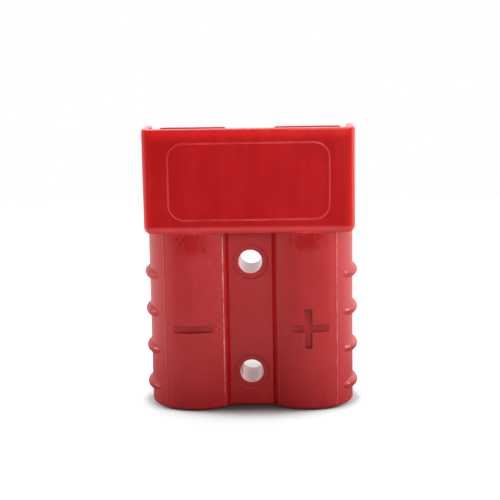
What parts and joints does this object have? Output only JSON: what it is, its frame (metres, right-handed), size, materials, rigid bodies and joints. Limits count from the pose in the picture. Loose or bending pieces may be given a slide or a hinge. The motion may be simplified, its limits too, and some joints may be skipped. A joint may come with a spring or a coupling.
{
  "type": "genderless power connector",
  "caption": "Genderless power connector: moulded housing with a mating hood, contact tongues, grip ribs and a web with mounting holes, holding crimp contacts on leaf springs.",
  "frame": {"origin": "centre of the wire end, midway between the two poles and on the mating plane", "axes": "+Z from the wire end to the mating end; -Y towards the marked face; +X towards the plus pole"},
  "size_m": [0.0365, 0.0166, 0.0478],
  "materials": {
    "housing_plastic": "glossy moulded polycarbonate, deep red",
    "contact_silver": "silver-plated copper, satin",
    "spring_steel": "bright stainless strip"
  },
  "bodies": {
    "root": {"housing": "housing_plastic", "contact_minus": "contact_silver", "contact_plus": "contact_silver", "spring_minus": "spring_steel", "spring_plus": "spring_steel"}
  },
  "joints": []
}
